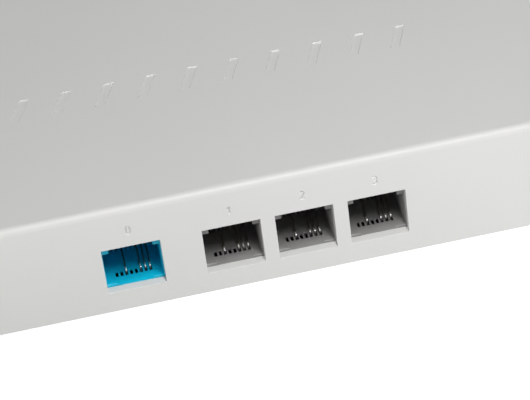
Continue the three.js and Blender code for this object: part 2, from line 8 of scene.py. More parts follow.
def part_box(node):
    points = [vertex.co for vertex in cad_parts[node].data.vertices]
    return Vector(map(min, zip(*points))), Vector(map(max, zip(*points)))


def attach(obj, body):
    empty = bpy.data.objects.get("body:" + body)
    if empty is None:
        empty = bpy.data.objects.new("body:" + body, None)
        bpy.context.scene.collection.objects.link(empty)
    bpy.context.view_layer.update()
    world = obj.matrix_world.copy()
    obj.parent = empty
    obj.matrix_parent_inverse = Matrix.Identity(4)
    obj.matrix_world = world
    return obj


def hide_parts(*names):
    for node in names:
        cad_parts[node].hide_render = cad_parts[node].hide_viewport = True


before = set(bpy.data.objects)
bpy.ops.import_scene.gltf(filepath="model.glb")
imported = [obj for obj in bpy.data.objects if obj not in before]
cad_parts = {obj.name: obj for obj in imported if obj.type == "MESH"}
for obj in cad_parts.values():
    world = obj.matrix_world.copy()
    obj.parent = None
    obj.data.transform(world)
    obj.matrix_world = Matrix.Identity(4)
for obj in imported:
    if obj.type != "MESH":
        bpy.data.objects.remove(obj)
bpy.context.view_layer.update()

# ---- Sizes, in metres ---------------------------------------------------------------------------

MM = 0.001

# Case
CORNER_RADIUS = 8 * MM
CORNER_STEPS = 12
TOP_EDGE_RADIUS = 1.6 * MM
TOP_EDGE_STEPS = 8
WALL = 1.7 * MM
CEILING = 2 * MM
RIM_RADIUS = 0.22 * MM  # softness of the cover's lower edge
RIM_MIDDLE = 0.3  # where the middle of that edge lies, as a share of its radius
OPENING_BEVEL = 0.35 * MM
FINE_BEVEL = 0.12 * MM  # on the base, the inlet and the pieces inside
BEVEL_SEGMENTS = 2
BEVEL_ANGLE = 50  # in degrees; only edges sharper than this are softened
OVERLAP = 0.3 * MM  # how far solids that are joined run into each other
CLEARANCE = 0.3 * MM  # around the power button and around the label

# Base
BASE_TOP_INSET = 0.4 * MM
BASE_LOW_INSET = 5.5 * MM
BASE_LOW_EDGE = ((0.25 * MM, 0), (-0.1 * MM, 0.12 * MM))  # softened: further inset, rise
BASE_FLOOR = 2 * MM
LIP_INSET = 2 * MM
LIP_WALL = 1.4 * MM
LIP_RISE = 2 * MM
VENT_COUNT = 19
VENT_PITCH = 5 * MM
VENT_RADIUS = 1 * MM
VENT_FRONT = -21 * MM
VENT_BACK = 13 * MM
FOOT_EDGE = 0.5 * MM
FOOT_EDGE_STEPS = 6
FOOT_SEAT_RADIUS = 6.3 * MM
FOOT_SEAT_Z = 1.75 * MM
LABEL_SEAT_CORNER = 1.8 * MM
LABEL_CORNER = 1.5 * MM
LABEL_BEVEL = 0.04 * MM
BOARD_RESTS = ((-24, -43), (0, -24), (24, -43), (0, 29))  # x and y, in millimetres

# Screws, with the bosses and posts that take them. A height that ends in _Z is above the ground.
BOSS_RADIUS = 3.2 * MM
BOSS_FOOT_Z = 5.25 * MM
POST_RADIUS = 4.2 * MM
REST_RADIUS = 3 * MM
HOLE_RADIUS = 1.6 * MM
PILOT_TOP_Z = 14 * MM
HEAD_BORE_RADIUS = 3 * MM
HEAD_BORE_Z = 3.25 * MM
SCREW_HOLES_Z = (2.5 * MM, 8 * MM)
BOARD_PILOTS_Z = (2 * MM, 8 * MM)
SCREW_HEAD = 1.5 * MM
SCREW_TIP_RADIUS = 0.15 * MM
SHANK_RADIUS = 1.3 * MM
THREAD_PITCH = 0.5 * MM
THREAD_GAP = 0.0001 * MM  # keeps the rings of two ridges from meeting
RECESS_REACH = 1.4 * MM
RECESS_HALF_WIDTH = 0.28 * MM
RECESS_DEPTH = 0.8 * MM

# Openings of the inlet, the buttons and the lamps
INLET_OPENING_RADIUS = 4.7 * MM
RESET_OPENING_RADIUS = 1 * MM
POWER_OPENING_CORNER = 1.3 * MM
WINDOW_HALF_WIDTH = 1.15 * MM
WINDOW_Z = (12.65 * MM, 15.15 * MM)

# Inlet and buttons
INLET_BORE_RADIUS = 3.15 * MM
INLET_BORE_DEPTH = 9.5 * MM
INLET_LEAD = 0.35 * MM
CAP_DEPTH = 4.7 * MM
CAP_EDGE = 0.6 * MM
CAP_EDGE_STEPS = 6
CAP_CORNER = 1 * MM
CAP_LEAST_CORNER = 0.3 * MM
CAP_DISH = ((0.86, 0.22 * MM), (0.6, 0.17 * MM), (0.35, 0.09 * MM))  # share inward, depth
STEM_HALF = 1.5 * MM

# Port openings and digits, measured from the cover's lower edge
PORT_WIDTH = 12.2 * MM
PORT_LOW = 5.1 * MM
PORT_HIGH = 15.2 * MM
SILL_DROP = 0.36 * MM  # the sill slopes down toward the outside
DIGIT_RISE = 18.9 * MM
DIGIT_HEIGHT = 2.1 * MM
DIGIT_WIDTH = 1.25 * MM
DIGIT_STROKE = 0.46 * MM
DIGIT_DEPTH = 0.28 * MM
DIGIT_DRAFT = 0.18 * MM  # how much each side of a stroke slopes in
DIGIT_LEAN = 0.1 * MM  # how far the bottom of a stroke lies above its mouth
DIGIT_OVERSHOOT = 0.3  # how far a cutter sticks out of the panel, as a share of its depth
ONE_STEM_X = 0.1 * MM  # the stem of the 1 lies right of the middle

# Band of sunken bars on the top
BAR_COUNT = 10
BAR_PITCH = 9.4 * MM
BAR_WIDTH = 2.2 * MM
BAR_SLANT = 3.2 * MM
BAR_NEAR = 42 * MM  # from the port panel
BAR_FAR = 51 * MM
BAR_DEPTH = 0.25 * MM
BAR_DRAFT = 0.2 * MM

# Modular jack, measured from the front, the foot and the middle of its CAD box. Its lead-in and
# chamfer start at its own face, which stands JACK_REACH in front of that box.
JACK_FLOOR = 3.1 * MM
JACK_REACH = 0.07 * MM  # brings the jack's face closer to the cover, so that less of a gap shows
JACK_BEVEL = 0.07 * MM
PLUG_WIDTH = 11.9 * MM
PLUG_HEIGHT = 7.6 * MM
PLUG_DEPTH = 11.5 * MM
LATCH_WIDTH = 9.2 * MM
LATCH_TOP = 13.1 * MM
LATCH_DEPTH = 9.5 * MM
LEDGE_WIDTH = 2 * MM
LEAD_IN_DEPTH = 2.35 * MM
LEAD_IN_DROP = 0.5 * MM
LEAD_IN_FLARE = 1.1  # how far each side leans out, per unit of height
LEDGE_CHAMFER = 0.28 * MM
SHELF_THICKNESS = 0.45 * MM
SHELF_FRONT = 1.9 * MM
SHELF_WIDTH = 9.2 * MM
CONTACT_PITCH = 1.016 * MM
CONTACT_COUNT = 8
FITTED_CONTACTS = (3, 6, 7, 8)
SLOT_WIDTH = 0.6 * MM
SLOT_FRONT = 2.4 * MM
SLOT_LENGTH = 1.9 * MM
COMB_DEPTH = 1.2 * MM
COMB_HEIGHT = 6.9 * MM

# A contact wire's middle line, in millimetres back from the front of the jack's CAD box and up
# from the jack's floor
WIRE_ROUTE = (
    (3.75, -0.85),
    (3.8, -0.35),
    (4, 0.13),
    (4.5, 0.49),
    (7.7, 2.3),
    (11, 4.15),
    (12.35, 4.78),
)
WIRE_STEPS = 6  # between two points of the route
WIRE_HALF_WIDTH = 0.19 * MM
WIRE_HALF_HEIGHT = 0.15 * MM
WIRE_CORNER = 0.08 * MM
WIRE_END_TAPER = 0.6
PAINTED_HIGHLIGHT_FADE = (0.45 * MM, 0.75 * MM)  # heights above the jack's floor between which the painted highlight on the tip fades into the painted shade of the wire

PORT_NAMES = ("wan", "lan_1", "lan_2", "lan_3")
CASE_SCREWS = [f"case_screw_{i}" for i in range(1, 5)]
BOARD_SCREWS = [f"board_screw_{i}" for i in range(1, 3)]
FEET = [f"foot_{i}" for i in range(1, 5)]
LAMPS = [f"status_lamp_{i}" for i in range(1, 6)]

# ---- Places, read from the frame ----------------------------------------------------------------

cover_low, cover_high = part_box("top_cover")
base_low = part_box("base_cover")[0]
PANEL_Y = cover_low.y
BACK_Y = cover_high.y
SPLIT_Z = cover_low.z
TOP_Z = cover_high.z
BASE_Z = base_low.z
FLOOR_TOP_Z = BASE_Z + BASE_FLOOR


def middle(node):
    low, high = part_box(node)
    return (low + high) / 2


# ---- Outlines -----------------------------------------------------------------------------------


def arc(u, v, radius, start, end, steps):
    """Points on an arc, with the angles in degrees."""
    angles = (math.radians(start + (end - start) * i / steps) for i in range(steps + 1))
    return [(u + radius * math.cos(a), v + radius * math.sin(a)) for a in angles]


def rounded_rectangle(u0, u1, v0, v1, radius, steps=6):
    corners = (
        (u1 - radius, v0 + radius, -90),
        (u1 - radius, v1 - radius, 0),
        (u0 + radius, v1 - radius, 90),
        (u0 + radius, v0 + radius, 180),
    )
    return [p for u, v, a in corners for p in arc(u, v, radius, a, a + 90, steps)]


def rectangle(u0, u1, v0, v1):
    return [(u0, v0), (u1, v0), (u1, v1), (u0, v1)]


def circle(u, v, radius, sides):
    return arc(u, v, radius, 0, 360 * (sides - 1) / sides, sides - 1)


def case_outline(inset):
    return rounded_rectangle(
        cover_low.x + inset,
        cover_high.x - inset,
        cover_low.y + inset,
        cover_high.y - inset,
        CORNER_RADIUS - inset,
        CORNER_STEPS,
    )


def stroke(points, width, extra):
    """The outline of a line of even width through the points, with mitred corners.

    The extra moves its two ends out, or in where it is negative.
    """
    places = [Vector(p) for p in points]
    places[0] += (places[0] - places[1]).normalized() * extra
    places[-1] += (places[-1] - places[-2]).normalized() * extra
    ways = [(b - a).normalized() for a, b in zip(places, places[1:])]
    left, right = [], []
    for place, before, after in zip(places, ways[:1] + ways, ways + ways[-1:]):
        along = (before + after).normalized()
        reach = width / 2 / along.dot(before)
        left.append((place.x - along.y * reach, place.y + along.x * reach))
        right.append((place.x + along.y * reach, place.y - along.x * reach))
    return right + left[::-1]


# ---- Solids -------------------------------------------------------------------------------------

PLANES = {
    "z": lambda u, v, w: (u, v, w),
    "y": lambda u, v, w: (u, w, v),
    "x": lambda u, v, w: (w, u, v),
}


def object_from(name, bm):
    bmesh.ops.recalc_face_normals(bm, faces=bm.faces)
    mesh = bpy.data.meshes.new(name)
    bm.to_mesh(mesh)
    bm.free()
    piece = bpy.data.objects.new(name, mesh)
    bpy.context.scene.collection.objects.link(piece)
    return piece


def lofted(name, loops, closed=False):
    """A solid through loops of equally many points. Its ends are capped unless it is closed."""
    bm = bmesh.new()
    rings = [[bm.verts.new(p) for p in loop] for loop in loops]
    count = len(rings[0])
    pairs = list(zip(rings, rings[1:]))
    if closed:
        pairs.append((rings[-1], rings[0]))
    for a, b in pairs:
        for i in range(count):
            j = (i + 1) % count
            bm.faces.new((a[i], a[j], b[j], b[i]))
    if not closed:
        bm.faces.new(rings[0])
        bm.faces.new(rings[-1])
    return object_from(name, bm)


def prism(name, outline, axis, low, high):
    place = PLANES[axis]
    return lofted(name, [[place(u, v, w) for u, v in outline] for w in (low, high)])


def block(name, x0, x1, y0, y1, z0, z1):
    return prism(name, rectangle(x0, x1, y0, y1), "z", z0, z1)


def turned(name, profile, u, v, sides, axis="z"):
    """A turned solid. The profile lists (radius, height) along the axis, with no radius of zero."""
    place = PLANES[axis]
    loops = [[place(*p, height) for p in circle(u, v, radius, sides)] for radius, height in profile]
    return lofted(name, loops)


def joined(pieces):
    bm = bmesh.new()
    for piece in pieces:
        bm.from_mesh(piece.data)
    name = pieces[0].name
    discard(pieces)
    return object_from(name, bm)


def discard(pieces):
    for piece in pieces:
        mesh = piece.data
        bpy.data.objects.remove(piece)
        bpy.data.meshes.remove(mesh)


def settle(piece):
    """Applies the piece's modifiers to its mesh."""
    depsgraph = bpy.context.evaluated_depsgraph_get()
    result = bpy.data.meshes.new_from_object(piece.evaluated_get(depsgraph))
    old = piece.data
    piece.modifiers.clear()
    piece.data = result
    bpy.data.meshes.remove(old)
    return piece


def combine(piece, others, operation):
    """Cuts the others out of the piece, or adds them to it. The others don't touch each other."""
    tool = joined(others)
    modifier = piece.modifiers.new("combine", "BOOLEAN")
    modifier.operation = operation
    modifier.solver = "EXACT"
    modifier.object = tool
    settle(piece)
    discard([tool])
    return piece


def carve(piece, cutters):
    return combine(piece, cutters, "DIFFERENCE")


def bevel(piece, width, angle):
    modifier = piece.modifiers.new("soften", "BEVEL")
    modifier.width = width
    modifier.segments = BEVEL_SEGMENTS
    modifier.limit_method = "ANGLE"
    modifier.angle_limit = math.radians(angle)
    return modifier


def soften(piece, width, angle=BEVEL_ANGLE):
    """Rounds the piece's sharp edges."""
    bevel(piece, width, angle).miter_outer = "MITER_ARC"
    return settle(piece)


def smooth(piece, angle=40):
    """Shades the piece smoothly across its shallow edges, with flat faces kept flat."""
    for polygon in piece.data.polygons:
        polygon.use_smooth = True
    piece.data.set_sharp_from_angle(angle=math.radians(angle))
    modifier = piece.modifiers.new("flat faces", "WEIGHTED_NORMAL")
    modifier.keep_sharp = True
    modifier.weight = 90
    return piece


# ---- Materials ----------------------------------------------------------------------------------


def nodes_of(material):
    return material.node_tree.nodes, material.node_tree.links


NOISE_RANGE = (0.3, 0.7)  # most of a noise texture lies between these
NOISE_DETAIL = 3
DRIFT_SCALE = 25
ROUGHNESS_SPREAD = 0.05


def noise(material, scale):
    nodes, links = nodes_of(material)
    place = nodes.new("ShaderNodeTexCoord")
    texture = nodes.new("ShaderNodeTexNoise")
    texture.inputs["Scale"].default_value = scale
    texture.inputs["Detail"].default_value = NOISE_DETAIL
    links.new(place.outputs["Object"], texture.inputs["Vector"])
    return texture.outputs["Fac"]


def ranged(material, value, low, high):
    """The noise value, stretched to run from low to high."""
    nodes, links = nodes_of(material)
    node = nodes.new("ShaderNodeMapRange")
    node.inputs["From Min"].default_value, node.inputs["From Max"].default_value = NOISE_RANGE
    node.inputs["To Min"].default_value = low
    node.inputs["To Max"].default_value = high
    links.new(value, node.inputs["Value"])
    return node.outputs["Result"]


def blended(material, factor, first, second):
    nodes, links = nodes_of(material)
    node = nodes.new("ShaderNodeMix")
    node.data_type = "RGBA"
    node.inputs["A"].default_value = (*first, 1)
    node.inputs["B"].default_value = (*second, 1)
    links.new(factor, node.inputs["Factor"])
    return node.outputs["Result"]


def bumped(material, height, depth):
    nodes, links = nodes_of(material)
    node = nodes.new("ShaderNodeBump")
    node.inputs["Distance"].default_value = depth
    links.new(height, node.inputs["Height"])
    return node.outputs["Normal"]


def surface(name, color, roughness, shade, grain=2500, depth=0.01 * MM, **sockets):
    """A material whose colour drifts by the share called shade, with a grain of its own.

    The other sockets are constants of the shader.
    """
    material = bpy.data.materials.new(name)
    material.use_nodes = True
    nodes, links = nodes_of(material)
    shader = nodes["Principled BSDF"]
    lighter = tuple(min(1, c * (1 + shade)) for c in color)
    darker = tuple(c * (1 - shade) for c in color)
    drift = ranged(material, noise(material, DRIFT_SCALE), 0, 1)
    links.new(blended(material, drift, darker, lighter), shader.inputs["Base Color"])
    fine = noise(material, grain)
    rough = ranged(material, fine, roughness - ROUGHNESS_SPREAD, roughness + ROUGHNESS_SPREAD)
    links.new(rough, shader.inputs["Roughness"])
    links.new(bumped(material, fine, depth), shader.inputs["Normal"])
    for socket, value in sockets.items():
        shader.inputs[socket.replace("_", " ")].default_value = value
    return material


# Name, colour, roughness, share by which the colour drifts, scale and depth of the grain
case_plastic = surface("case_plastic", (0.67, 0.67, 0.655), 0.42, 0.012, 2600, 0.012 * MM)
base_plastic = surface("base_plastic", (0.72, 0.72, 0.71), 0.58, 0.02, 1800, 0.03 * MM)
blue_plastic = surface("blue_plastic", (0.003, 0.5, 0.71), 0.38, 0.05, 1200, 0.004 * MM)
grey_plastic = surface("grey_plastic", (0.27, 0.267, 0.262), 0.42, 0.05, 1200, 0.004 * MM)
black_plastic = surface("black_plastic", (0.02, 0.02, 0.022), 0.5, 0.2, 2200)
button_plastic = surface("button_plastic", (0.36, 0.36, 0.37), 0.45, 0.03, 2600)
rubber = surface("rubber", (0.035, 0.035, 0.037), 0.82, 0.25, 1500, 0.05 * MM)
label_film = surface("label_film", (0.84, 0.84, 0.82), 0.35, 0.02, 900, 0.004 * MM)
steel = surface("steel", (0.62, 0.62, 0.63), 0.34, 0.06, 2600, 0.006 * MM, Metallic=1.0)
aluminium = surface("aluminium", (0.72, 0.73, 0.74), 0.38, 0.05, 2600, 0.008 * MM, Metallic=1.0)
clear_plastic = surface(
    "clear_plastic",
    (0.92, 0.95, 0.96),
    0.12,
    0.01,
    depth=0.002 * MM,
    Transmission_Weight=0.85,
    IOR=1.49,
)
lamp_resin = surface("lamp_resin", (0.86, 0.85, 0.74), 0.3, 0.03, 900)
silicone = surface("silicone", (0.22, 0.27, 0.33), 0.75, 0.1, 1800, 0.03 * MM)
ferrite = surface("ferrite", (0.06, 0.06, 0.065), 0.7, 0.3, 3000, 0.03 * MM)


def circuit_board():
    """Green solder mask with lighter tracks around a grid of blocks."""
    material = surface("circuit_board", (0.006, 0.06, 0.025), 0.35, 0.08, 1500, 0.003 * MM)
    nodes, links = nodes_of(material)
    shader = nodes["Principled BSDF"]
    place = nodes.new("ShaderNodeTexCoord")
    tracks = nodes.new("ShaderNodeTexBrick")
    tracks.inputs["Scale"].default_value = 90
    tracks.inputs["Mortar Size"].default_value = 0.03
    tracks.inputs["Color1"].default_value = (0.005, 0.05, 0.022, 1)
    tracks.inputs["Color2"].default_value = (0.007, 0.065, 0.028, 1)
    tracks.inputs["Mortar"].default_value = (0.02, 0.14, 0.06, 1)
    links.new(place.outputs["Object"], tracks.inputs["Vector"])
    links.new(tracks.outputs["Color"], shader.inputs["Base Color"])
    return material


board_mask = circuit_board()


def contact_metal_painted_light():
    """Painted shade along the wire, as a dark colour, and a painted highlight at the bent tip, just
    above the jack's floor, as a near-white colour.
    """
    # The tip colour is a painted highlight and the body colour is painted shade, both in place of
    # the contacts' own gold
    tip, body = (0.93, 0.91, 0.87), (0.14, 0.13, 0.11)
    material = surface("contact_metal_painted_light", body, 0.34, 0.03, 3000, 0.003 * MM, Metallic=1.0)
    nodes, links = nodes_of(material)
    place = nodes.new("ShaderNodeTexCoord")
    split = nodes.new("ShaderNodeSeparateXYZ")
    height = nodes.new("ShaderNodeMapRange")
    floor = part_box("wan_jack")[0].z + JACK_FLOOR
    height.inputs["From Min"].default_value = floor + PAINTED_HIGHLIGHT_FADE[0]
    height.inputs["From Max"].default_value = floor + PAINTED_HIGHLIGHT_FADE[1]
    links.new(place.outputs["Object"], split.inputs["Vector"])
    links.new(split.outputs["Z"], height.inputs["Value"])
    color = blended(material, height.outputs["Result"], tip, body)
    links.new(color, nodes["Principled BSDF"].inputs["Base Color"])
    return material


# Contact material with a painted highlight on the tips and painted shade along the wires
contact_painted_light = contact_metal_painted_light()


# ---- Finishing a piece --------------------------------------------------------------------------


def dress(piece, material):
    piece.data.materials.clear()
    piece.data.materials.append(material)
    return piece


def finish_piece(piece, material, body, slot, *nodes):
    dress(piece, material)
    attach(piece, body)
    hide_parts(*nodes)
    return piece


# ---- Top cover ----------------------------------------------------------------------------------


def cover_shell():
    rim = [
        (RIM_RADIUS, SPLIT_Z),
        (RIM_MIDDLE * RIM_RADIUS, SPLIT_Z + RIM_MIDDLE * RIM_RADIUS),
        (0, SPLIT_Z + RIM_RADIUS),
    ]
    edge_z = TOP_Z - TOP_EDGE_RADIUS
    edge = []
    for i in range(TOP_EDGE_STEPS + 1):
        a = math.pi / 2 * i / TOP_EDGE_STEPS
        inset = TOP_EDGE_RADIUS * (1 - math.cos(a))
        edge.append((inset, edge_z + TOP_EDGE_RADIUS * math.sin(a)))
    loops = [[(x, y, z) for x, y in case_outline(inset)] for inset, z in rim + edge]
    shell = lofted("cover", loops)
    inside = prism("inside", case_outline(WALL), "z", SPLIT_Z - MM, TOP_Z - CEILING)
    return carve(shell, [inside])


def cover_bosses():
    """The posts under the ceiling that take the case screws, and the holes in them."""
    posts, pilots = [], []
    for screw in CASE_SCREWS:
        at = middle(screw)
        outline = circle(at.x, at.y, BOSS_RADIUS, sides=24)
        posts.append(prism("post", outline, "z", BOSS_FOOT_Z, TOP_Z - CEILING + OVERLAP))
        hole = circle(at.x, at.y, HOLE_RADIUS, sides=16)
        pilots.append(prism("pilot", hole, "z", BOSS_FOOT_Z - MM, PILOT_TOP_Z))
    return posts, pilots


def panel_cutters():
    """Cutters through the port panel, which end half a millimetre behind it."""
    y0, y1 = PANEL_Y - MM, PANEL_Y + WALL + 0.5 * MM
    low, high = SPLIT_Z + PORT_LOW, SPLIT_Z + PORT_HIGH
    port = [(y0, low - SILL_DROP * (1 + MM / WALL)), (PANEL_Y + WALL, low)]
    port += [(y1, low), (y1, high), (y0, high)]
    cutters = []
    for name in PORT_NAMES:
        x = middle(f"{name}_jack").x
        cutters.append(prism("port", port, "x", x - PORT_WIDTH / 2, x + PORT_WIDTH / 2))
    inlet = middle("power_inlet_pin")
    round_hole = circle(inlet.x, inlet.z, INLET_OPENING_RADIUS, sides=48)
    cutters.append(prism("inlet", round_hole, "y", y0, y1))
    reset = middle("reset_button")
    round_hole = circle(reset.x, reset.z, RESET_OPENING_RADIUS, sides=24)
    cutters.append(prism("reset", round_hole, "y", y0, y1))
    low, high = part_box("power_button")
    power = rounded_rectangle(
        low.x - CLEARANCE,
        high.x + CLEARANCE,
        low.z - CLEARANCE,
        high.z + CLEARANCE,
        POWER_OPENING_CORNER,
    )
    cutters.append(prism("power", power, "y", y0, y1))
    return cutters


def window_cutters():
    y0, y1 = BACK_Y - WALL - 0.5 * MM, BACK_Y + MM
    xs = [middle(lamp).x for lamp in LAMPS]
    half = WINDOW_HALF_WIDTH
    return [block("window", x - half, x + half, y0, y1, *WINDOW_Z) for x in xs]


def oval(half_width, half_height):
    corner = half_width
    return rounded_rectangle(-half_width, half_width, -half_height, half_height, corner, steps=8)


def digit_lines(value):
    """The middle lines of the strokes of the digit 1, 2 or 3, around its middle."""
    top = (DIGIT_HEIGHT - DIGIT_STROKE) / 2
    side = (DIGIT_WIDTH - DIGIT_STROKE) / 2
    bowl = top / 2
    foot = side + DIGIT_STROKE / 2
    return {
        1: [
            [(-side * 0.9, top * 0.35), (ONE_STEM_X, top * 0.8)],
            [(ONE_STEM_X, top), (ONE_STEM_X, -DIGIT_HEIGHT / 2)],
        ],
        2: [
            arc(0, bowl, bowl, 160, -30, steps=5) + [(-side * 0.8, -top)],
            [(-foot, -top), (foot, -top)],
        ],
        3: [
            [(-foot, top), (foot * 0.5, top)],
            arc(0, bowl, bowl, 60, -60, steps=4),
            [(-side * 0.3, 0), (side, 0)],
            arc(0, -bowl, bowl, 60, -60, steps=4),
            [(-foot, -top), (foot * 0.5, -top)],
        ],
    }[value]


def digit_cutters(value, x):
    """Strokes with sloping sides: wide at the surface and narrow at the bottom.

    Their ends draw in by DIGIT_DRAFT toward the bottom, so the first and last step of a stroke
    have to be longer than that.
    """
    z = SPLIT_Z + DIGIT_RISE
    over = DIGIT_OVERSHOOT
    levels = (
        (-DIGIT_DRAFT, PANEL_Y + DIGIT_DEPTH, z + DIGIT_LEAN),
        (over * DIGIT_DRAFT, PANEL_Y - over * DIGIT_DEPTH, z - over * DIGIT_LEAN),
    )
    if value == 0:
        half_height = (DIGIT_HEIGHT - DIGIT_STROKE) / 2
        half_width = (DIGIT_WIDTH - DIGIT_STROKE) / 2
        loops = []
        for sign, ordered in ((1, levels), (-1, levels[::-1])):
            for grow, y, level in ordered:
                wide = sign * (DIGIT_STROKE / 2 + grow)
                outline = oval(half_width + wide, half_height + wide)
                loops.append([(x + u, y, level + v) for u, v in outline])
        return [lofted("digit", loops, closed=True)]
    cutters = []
    for points in digit_lines(value):
        loops = []
        for grow, y, level in levels:
            outline = stroke(points, DIGIT_STROKE + 2 * grow, grow)
            loops.append([(x + u, y, level + v) for u, v in outline])
        cutters.append(lofted("digit", loops))
    return cutters


def bar_cutters():
    """Slanted bars with sloping sides, so that their edges read soft."""
    cutters = []
    y0, y1 = PANEL_Y + BAR_NEAR, PANEL_Y + BAR_FAR
    lean = BAR_SLANT / (BAR_FAR - BAR_NEAR)
    for i in range(BAR_COUNT):
        x = (i - (BAR_COUNT - 1) / 2) * BAR_PITCH
        loops = []
        for grow, z in ((-BAR_DRAFT, TOP_Z - BAR_DEPTH), (BAR_DRAFT, TOP_Z + BAR_DEPTH)):
            half = BAR_WIDTH / 2 + grow
            reach = BAR_SLANT / 2 + lean * grow
            near = [(x - reach - half, y0 - grow, z), (x - reach + half, y0 - grow, z)]
            far = [(x + reach + half, y1 + grow, z), (x + reach - half, y1 + grow, z)]
            loops.append(near + far)
        cutters.append(lofted("bar", loops))
    return cutters


def top_cover():
    posts, pilots = cover_bosses()
    shell = combine(cover_shell(), posts, "UNION")
    carve(shell, pilots + panel_cutters() + window_cutters())
    soften(shell, OPENING_BEVEL)
    for value, name in enumerate(PORT_NAMES):
        for line in digit_cutters(value, middle(f"{name}_jack").x):
            carve(shell, [line])
    carve(shell, bar_cutters())
    shell.name = "cover_shell"
    return finish_piece(smooth(shell), case_plastic, "chassis", "case_top", "top_cover")


# ---- Base ---------------------------------------------------------------------------------------


def base_tray():
    """The base's shell, with a lip that stands inside the cover."""
    sides = [(BASE_LOW_INSET + inset, BASE_Z + rise) for inset, rise in BASE_LOW_EDGE]
    sides += [(BASE_TOP_INSET, SPLIT_Z)]
    loops = [[(x, y, z) for x, y in case_outline(inset)] for inset, z in sides]
    tray = lofted("base", loops)
    outer = case_outline(LIP_INSET)
    lip = prism("lip", outer, "z", FLOOR_TOP_Z + 0.5 * MM, SPLIT_Z + LIP_RISE)
    combine(tray, [lip], "UNION")
    inner = case_outline(LIP_INSET + LIP_WALL)
    return carve(tray, [prism("hollow", inner, "z", FLOOR_TOP_Z, SPLIT_Z + 2 * LIP_RISE)])


def columns(name, places, radius, sides, z0, z1):
    return [prism(name, circle(p.x, p.y, radius, sides), "z", z0, z1) for p in places]


def base_cover():
    screws = [middle(screw) for screw in CASE_SCREWS]
    board_screws = [middle(screw) for screw in BOARD_SCREWS]
    rests = [Vector((x * MM, y * MM, 0)) for x, y in BOARD_RESTS]
    board_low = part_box("main_board")[0].z
    post_low = FLOOR_TOP_Z - OVERLAP
    tray = base_tray()
    posts = columns("post", screws, POST_RADIUS, 28, post_low, BOSS_FOOT_Z)
    posts += columns("rest", board_screws + rests, REST_RADIUS, 24, post_low, board_low)
    combine(tray, posts, "UNION")
    below = BASE_Z - MM
    feet = [middle(foot) for foot in FEET]
    cutters = columns("bore", screws, HEAD_BORE_RADIUS, 32, below, HEAD_BORE_Z)
    cutters += columns("seat", feet, FOOT_SEAT_RADIUS, 48, below, FOOT_SEAT_Z)
    low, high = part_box("rating_label")
    label_seat = rounded_rectangle(
        low.x - CLEARANCE,
        high.x + CLEARANCE,
        low.y - CLEARANCE,
        high.y + CLEARANCE,
        LABEL_SEAT_CORNER,
    )
    cutters.append(prism("label", label_seat, "z", below, high.z))
    for i in range(VENT_COUNT):
        x = (i - (VENT_COUNT - 1) / 2) * VENT_PITCH
        x0, x1 = x - VENT_RADIUS, x + VENT_RADIUS
        slot = rounded_rectangle(x0, x1, VENT_FRONT, VENT_BACK, VENT_RADIUS, steps=4)
        cutters.append(prism("vent", slot, "z", below, FLOOR_TOP_Z + MM))
    carve(tray, cutters)
    holes = columns("hole", screws, HOLE_RADIUS, 16, *SCREW_HOLES_Z)
    holes += columns("pilot", board_screws, HOLE_RADIUS, 16, *BOARD_PILOTS_Z)
    carve(tray, holes)
    soften(tray, FINE_BEVEL)
    tray.name = "base_shell"
    return finish_piece(smooth(tray), base_plastic, "chassis", "case_base", "base_cover")


# ---- Modular jacks ------------------------------------------------------------------------------


def contact_x(x, position):
    return x + (position - (CONTACT_COUNT + 1) / 2) * CONTACT_PITCH


def floor_wedge(x, half, face, floor, depth, drop):
    """A wedge that is cut out of the floor, deepest at the face."""
    front, back = face - MM, face + depth
    outline = [(front, floor - drop * (1 + MM / depth)), (back, floor)]
    outline += [(back, floor + MM), (front, floor + MM)]
    return prism("wedge", outline, "x", x - half, x + half)


def lead_in_cutter(x, face, floor):
    """The slope down to the face between the two ledges, with sides that lean out."""
    half = PLUG_WIDTH / 2 - LEDGE_WIDTH
    foot = half - MM * LEAD_IN_FLARE
    channel = [(x - foot, floor - MM), (x + foot, floor - MM), (x + half, floor)]
    channel += [(x + half, floor + 2 * MM), (x - half, floor + 2 * MM), (x - half, floor)]
    cutter = prism("lead_in", channel, "y", face - 2 * MM, face + 2 * LEAD_IN_DEPTH)
    wedge = floor_wedge(x, PLUG_WIDTH, face, floor, LEAD_IN_DEPTH, LEAD_IN_DROP)
    return combine(cutter, [wedge], "INTERSECT")


def jack_housing(name):
    low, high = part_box(f"{name}_jack")
    x = (low.x + high.x) / 2
    face = low.y - JACK_REACH
    floor = low.z + JACK_FLOOR
    roof = low.z + LATCH_TOP
    rear = low.y + PLUG_DEPTH
    shelf_low = floor - SHELF_THICKNESS
    body = block(f"{name}_housing", low.x, high.x, face, high.y, low.z, high.z)

    def hollow_out(width, y0, y1, z0, z1):
        carve(body, [block("cut", x - width / 2, x + width / 2, y0, y1, z0, z1)])

    hollow_out(PLUG_WIDTH, face - MM, rear, floor, floor + PLUG_HEIGHT)
    hollow_out(LATCH_WIDTH, face - MM, low.y + LATCH_DEPTH, floor + PLUG_HEIGHT / 2, roof)
    hollow_out(SHELF_WIDTH, low.y + SHELF_FRONT, rear, low.z - MM, shelf_low)
    carve(body, [lead_in_cutter(x, face, floor)])
    carve(body, [floor_wedge(x, PLUG_WIDTH / 2, face, floor, LEDGE_CHAMFER, LEDGE_CHAMFER)])
    half = SLOT_WIDTH / 2
    slot_y = low.y + SLOT_FRONT
    positions = [contact_x(x, i + 1) for i in range(CONTACT_COUNT)]
    cutters = [
        block("slot", u - half, u + half, slot_y, slot_y + SLOT_LENGTH, shelf_low - MM, floor + MM)
        for u in positions
    ]
    cutters += [
        block("comb", u - half, u + half, rear - MM, rear + COMB_DEPTH, floor, floor + COMB_HEIGHT)
        for u in positions
    ]
    carve(body, cutters)
    soften(body, JACK_BEVEL)
    blue = name == "wan"
    look = blue_plastic if blue else grey_plastic
    slot = "blue_plastic" if blue else "grey_plastic"
    return finish_piece(smooth(body), look, "chassis", slot, f"{name}_jack")


